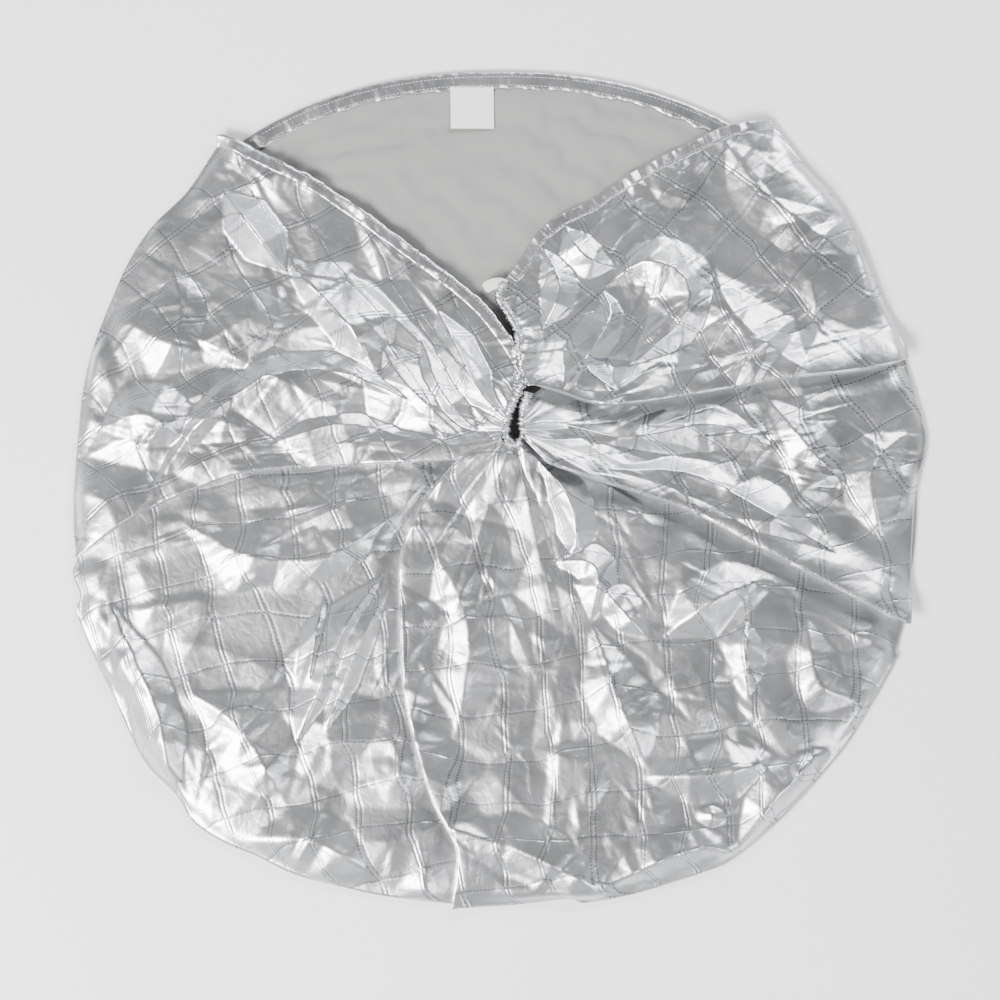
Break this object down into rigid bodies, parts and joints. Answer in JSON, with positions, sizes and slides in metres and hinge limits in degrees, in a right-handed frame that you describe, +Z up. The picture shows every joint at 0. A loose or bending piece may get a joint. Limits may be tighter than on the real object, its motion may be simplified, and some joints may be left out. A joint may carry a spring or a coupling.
{
  "type": "spare wheel cover",
  "caption": "Quilted silver foil-cloth cover for a caravan's spare wheel, empty and lying on its front panel, with a gathered elastic mouth and a V opening.",
  "frame": {"origin": "middle of the base of the empty cover as it lies on its front panel", "axes": "+Z up out of the front panel's inner side, +Y towards the V opening and its free arc, +X to the right as seen from above"},
  "size_m": [0.8079, 0.79, 0.0409],
  "materials": {
    "foil_cloth": "aluminium-coated polyester, quilted, crumpled, semi-gloss",
    "hem_foil": "the same coated cloth folded over and stitched, finely puckered",
    "wadding": "thin white polyester wadding",
    "lining": "matt grey-white nonwoven lining",
    "thread": "pale grey polyester sewing thread",
    "label_ribbon": "white woven ribbon, blank",
    "elastic": "white knitted elastic"
  },
  "bodies": {
    "root": {"front_shell": "foil_cloth", "front_wadding": "wadding", "front_lining": "lining", "rim_seam_thread": "thread", "rear_shell": "foil_cloth", "rear_wadding": "wadding", "rear_lining": "lining", "left_hem": "hem_foil", "left_hem_stitch": "thread", "elastic_casing": "hem_foil", "elastic_band": "elastic"},
    "arc_flap": {"arc_shell": "foil_cloth", "arc_wadding": "wadding", "arc_lining": "lining", "arc_hem": "hem_foil", "arc_stitch_outer": "thread", "arc_stitch_inner": "thread", "label_stitch": "thread"},
    "label": {"label": "label_ribbon"},
    "corner_flap": {"corner_shell": "foil_cloth", "corner_wadding": "wadding", "corner_lining": "lining", "corner_hem": "hem_foil", "corner_hem_stitch": "thread", "corner_casing": "hem_foil", "corner_elastic": "elastic", "elastic_end": "elastic"}
  },
  "joints": [
    {"name": "arc_fold", "type": "hinge", "parent": "root", "child": "arc_flap", "pos_m": [-0.01708, 0.3425, 0.0033], "axis": [0.9991, 0.0435, 0], "range_deg": [0, 110]},
    {"name": "label_swing", "type": "hinge", "parent": "arc_flap", "child": "label", "pos_m": [-0.0265, 0.379, 0.0055], "axis": [-1, 0, 0], "range_deg": [0, 170]},
    {"name": "corner_fold", "type": "hinge", "parent": "root", "child": "corner_flap", "pos_m": [0.2488, 0.3139, 0.0084], "axis": [0.697, 0.7135, -0.0714], "range_deg": [0, 140]}
  ]
}
